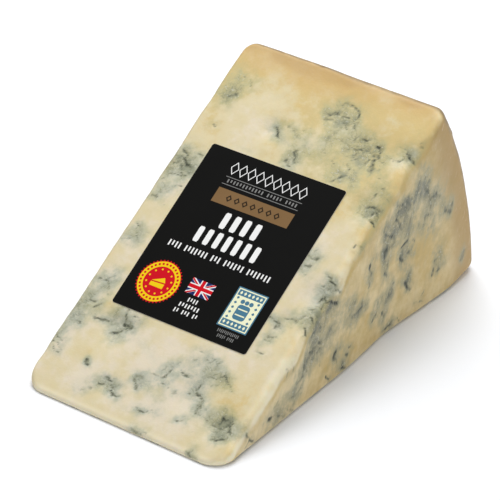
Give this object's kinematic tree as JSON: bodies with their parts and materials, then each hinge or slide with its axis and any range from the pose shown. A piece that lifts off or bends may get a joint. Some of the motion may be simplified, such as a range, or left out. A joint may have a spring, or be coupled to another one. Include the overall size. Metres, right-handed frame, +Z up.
{
  "type": "stilton wedge",
  "caption": "Wedge of blue-veined cheese lying on one cut face, thin at the front, with crusty rind at the back and a small paper label set flat in the sloping cut face.",
  "frame": {"origin": "middle of the base, on the surface that the wedge rests on", "axes": "+Z up; +Y from the thin edge at the front to the rind at the back; +X to the right, along the axis of the wheel that the wedge was cut from"},
  "size_m": [0.058, 0.1012, 0.0501],
  "materials": {
    "paste": "soft moist cream to butter-yellow paste with blue-grey and green-black veins; crusty grey-brown rind",
    "label_paper": "satin black coated paper with small printed fields of white, bronze, red, yellow, blue and cream"
  },
  "bodies": {
    "root": {"cheese": "paste", "label": "label_paper"}
  },
  "joints": []
}
